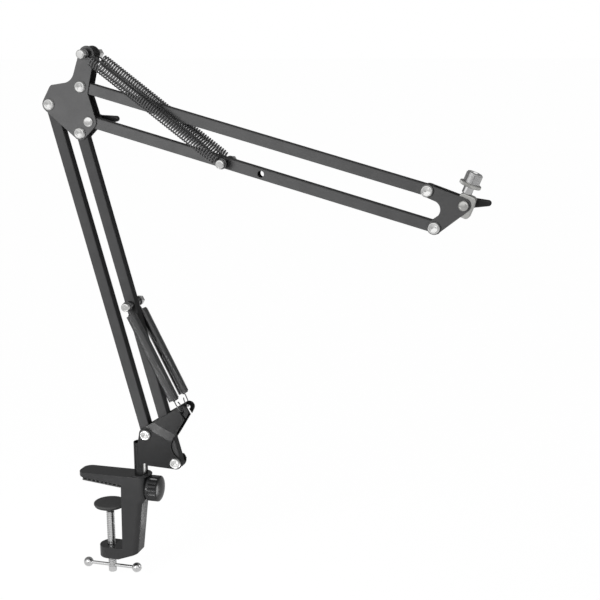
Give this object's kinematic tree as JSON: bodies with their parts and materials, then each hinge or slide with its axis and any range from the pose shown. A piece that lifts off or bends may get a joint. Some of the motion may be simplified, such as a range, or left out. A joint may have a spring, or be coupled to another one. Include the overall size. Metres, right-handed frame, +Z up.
{
  "type": "desk-mounted microphone stand",
  "caption": "Spring-balanced scissor boom arm for a microphone, with two parallel-bar arms, a swivelling base post, a tilting threaded stud and a screw clamp for a desk's edge.",
  "frame": {"origin": "on the ribbed pad under the clamp's upper jaw, where the desk's top meets it, over the axis of the clamp screw", "axes": "+X from the desk's edge to the microphone in the arm's rest plane, +Y to the arm's back side, +Z up along the post's axis"},
  "size_m": [0.4459, 0.047, 0.5558],
  "materials": {
    "lower_arm_paint": "satin grey-black",
    "upper_arm_paint": "satin dark grey",
    "bracket_paint": "satin black",
    "clamp_paint": "satin black",
    "plastic": "black",
    "rubber": "matte black",
    "zinc": "bright zinc",
    "chrome": "bright",
    "silver": "satin",
    "spring_steel": "bright black nickel"
  },
  "bodies": {
    "clamp": {"clamp_frame": "clamp_paint", "upper_jaw_pad": "rubber"},
    "lock_stud": {"lock_knob_stud": "zinc"},
    "lock_knob": {"lock_knob": "plastic"},
    "disc": {"pressure_disc": "clamp_paint", "disc_rubber": "rubber"},
    "screw": {"clamp_screw": "chrome"},
    "tommy": {"tommy_bar": "chrome"},
    "swivel_base": {"pivot_post": "zinc", "base_bracket": "bracket_paint", "base_upper_bolt": "zinc", "base_upper_nut": "spring_steel", "base_lower_bolt": "zinc", "base_lower_nut": "spring_steel"},
    "lower_left_bar": {"lower_arm_left_bar": "lower_arm_paint"},
    "lower_right_bar": {"lower_arm_right_bar": "lower_arm_paint", "lower_anchor_bolt": "zinc", "lower_anchor_nut": "zinc", "lower_anchor_spacer_front": "spring_steel", "lower_anchor_spacer_back": "spring_steel"},
    "elbow": {"elbow_plate_front": "upper_arm_paint", "elbow_plate_back": "upper_arm_paint", "elbow_left_bolt": "zinc", "elbow_left_nut": "spring_steel", "elbow_bottom_bolt": "zinc", "elbow_bottom_nut": "spring_steel", "elbow_top_bolt": "zinc", "elbow_top_nut": "spring_steel", "elbow_clamp_bolt": "zinc", "top_anchor_bolt": "zinc", "top_anchor_nut": "zinc", "top_anchor_spacer_front": "spring_steel", "top_anchor_spacer_back": "spring_steel"},
    "elbow_wing": {"elbow_wing_knob": "plastic"},
    "upper_top_bar": {"upper_arm_top_bar": "upper_arm_paint"},
    "upper_bottom_bar": {"upper_arm_bottom_bar": "upper_arm_paint", "boom_anchor_bolt": "zinc", "boom_anchor_nut": "zinc", "boom_anchor_spacer_front": "spring_steel", "boom_anchor_spacer_back": "spring_steel"},
    "head": {"head_plate_front": "upper_arm_paint", "head_plate_back": "upper_arm_paint", "head_top_bolt": "zinc", "head_top_nut": "spring_steel", "head_bottom_bolt": "zinc", "head_bottom_nut": "spring_steel", "tilt_bolt": "silver"},
    "tilt_wing": {"tilt_wing_knob": "plastic"},
    "mic_swivel": {"swivel_block": "silver", "mic_stud": "chrome"},
    "ring": {"lock_ring": "silver"},
    "upper_springs": {"upper_spring_front": "spring_steel", "upper_spring_back": "spring_steel"},
    "upper_spring_ends": {"upper_spring_front_end": "spring_steel", "upper_spring_back_end": "spring_steel"},
    "lower_springs": {"lower_spring_front": "spring_steel", "lower_spring_back": "spring_steel"},
    "lower_spring_ends": {"lower_spring_front_end": "spring_steel", "lower_spring_back_end": "spring_steel"}
  },
  "joints": [
    {"name": "screw_turn", "type": "hinge", "parent": "disc", "child": "screw", "pos_m": [0, 0, -0.0964], "axis": [0, 0, 1], "range_deg": [-6120, 990]},
    {"name": "disc_lift", "type": "slide", "parent": "clamp", "child": "disc", "axis": [0, 0, 1], "range_m": [-0.0341, 0.0056]},
    {"name": "tommy_slide", "type": "slide", "parent": "screw", "child": "tommy", "axis": [1, 0, 0], "range_m": [-0.012, 0.012]},
    {"name": "lock_knob_turn", "type": "hinge", "parent": "lock_stud", "child": "lock_knob", "pos_m": [0.0454, 0, -0.0035], "axis": [1, 0, 0], "range_deg": [0, 720]},
    {"name": "lock_stud_advance", "type": "slide", "parent": "clamp", "child": "lock_stud", "axis": [1, 0, 0], "range_m": [0, 0.0021]},
    {"name": "base_swivel", "type": "hinge", "parent": "clamp", "child": "swivel_base", "pos_m": [0.0377, 0, 0.0121], "axis": [0, 0, 1], "continuous": true},
    {"name": "lower_arm_swing", "type": "hinge", "parent": "swivel_base", "child": "lower_left_bar", "pos_m": [0.0472, 0, 0.0574], "axis": [0, 1, 0], "range_deg": [-12, 40]},
    {"name": "lower_right_bar_swing", "type": "hinge", "parent": "swivel_base", "child": "lower_right_bar", "pos_m": [0.0794, 0, 0.0293], "axis": [0, 1, 0], "range_deg": [-12.5, 40.5]},
    {"name": "elbow_level", "type": "hinge", "parent": "lower_left_bar", "child": "elbow", "pos_m": [-0.0438, 0, 0.39536], "axis": [0, 1, 0], "range_deg": [-40.5, 12.5]},
    {"name": "elbow_wing_turn", "type": "hinge", "parent": "elbow", "child": "elbow_wing", "pos_m": [-0.0018, 0, 0.37866], "axis": [0, 1, 0], "range_deg": [0, 360]},
    {"name": "upper_arm_swing", "type": "hinge", "parent": "elbow", "child": "upper_top_bar", "pos_m": [-0.0089, 0, 0.41276], "axis": [0, 1, 0], "range_deg": [-30, 30]},
    {"name": "upper_bottom_bar_swing", "type": "hinge", "parent": "elbow", "child": "upper_bottom_bar", "pos_m": [-0.0018, 0, 0.37866], "axis": [0, 1, 0], "range_deg": [-30.5, 30.5]},
    {"name": "head_level", "type": "hinge", "parent": "upper_top_bar", "child": "head", "pos_m": [0.3375, 0, 0.31962], "axis": [0, 1, 0], "range_deg": [-30.5, 30.5]},
    {"name": "tilt_wing_turn", "type": "hinge", "parent": "head", "child": "tilt_wing", "pos_m": [0.3716, 0, 0.30692], "axis": [0, 1, 0], "range_deg": [0, 360]},
    {"name": "mic_tilt", "type": "hinge", "parent": "head", "child": "mic_swivel", "pos_m": [0.3716, 0, 0.30692], "axis": [0, 1, 0], "range_deg": [-30, 90]},
    {"name": "ring_turn", "type": "hinge", "parent": "mic_swivel", "child": "ring", "pos_m": [0.37651, 0, 0.32575], "axis": [0.3746, 0, 0.9272], "continuous": true},
    {"name": "upper_spring_swing", "type": "hinge", "parent": "elbow", "child": "upper_springs", "pos_m": [-0.0009, 0, 0.44436], "axis": [0, 1, 0], "range_deg": [-24, 24]},
    {"name": "upper_spring_stretch", "type": "slide", "parent": "upper_springs", "child": "upper_spring_ends", "axis": [0.8036, 0, -0.5951], "range_m": [-0.0278, 0.0278], "deforming": ["upper_spring_front", "upper_spring_back", "upper_spring_front_end", "upper_spring_back_end"]},
    {"name": "lower_spring_swing", "type": "hinge", "parent": "lower_right_bar", "child": "lower_springs", "pos_m": [0.03494, 0, 0.19442], "axis": [0, 1, 0], "range_deg": [-6, 19]},
    {"name": "lower_spring_stretch", "type": "slide", "parent": "lower_springs", "child": "lower_spring_ends", "axis": [0.4505, 0, -0.8928], "range_m": [-0.0105, 0.0033], "deforming": ["lower_spring_front", "lower_spring_back", "lower_spring_front_end", "lower_spring_back_end"]}
  ],
  "couplings": [
    {"joint": "disc_lift", "follows": "screw_turn", "m_per_rad": 0.00031831},
    {"joint": "lock_stud_advance", "follows": "lock_knob_turn", "m_per_rad": 0.00015915},
    {"joint": "lower_right_bar_swing", "follows": "lower_arm_swing", "ratio": 1},
    {"joint": "elbow_level", "follows": "lower_arm_swing", "ratio": -1},
    {"joint": "lower_spring_swing", "follows": "lower_arm_swing", "ratio": 0.46},
    {"joint": "lower_spring_stretch", "follows": "lower_arm_swing", "m_per_rad": -0.0148},
    {"joint": "upper_bottom_bar_swing", "follows": "upper_arm_swing", "ratio": 1},
    {"joint": "head_level", "follows": "upper_arm_swing", "ratio": -1},
    {"joint": "upper_spring_swing", "follows": "upper_arm_swing", "ratio": 0.78},
    {"joint": "upper_spring_stretch", "follows": "upper_arm_swing", "m_per_rad": 0.0528}
  ]
}
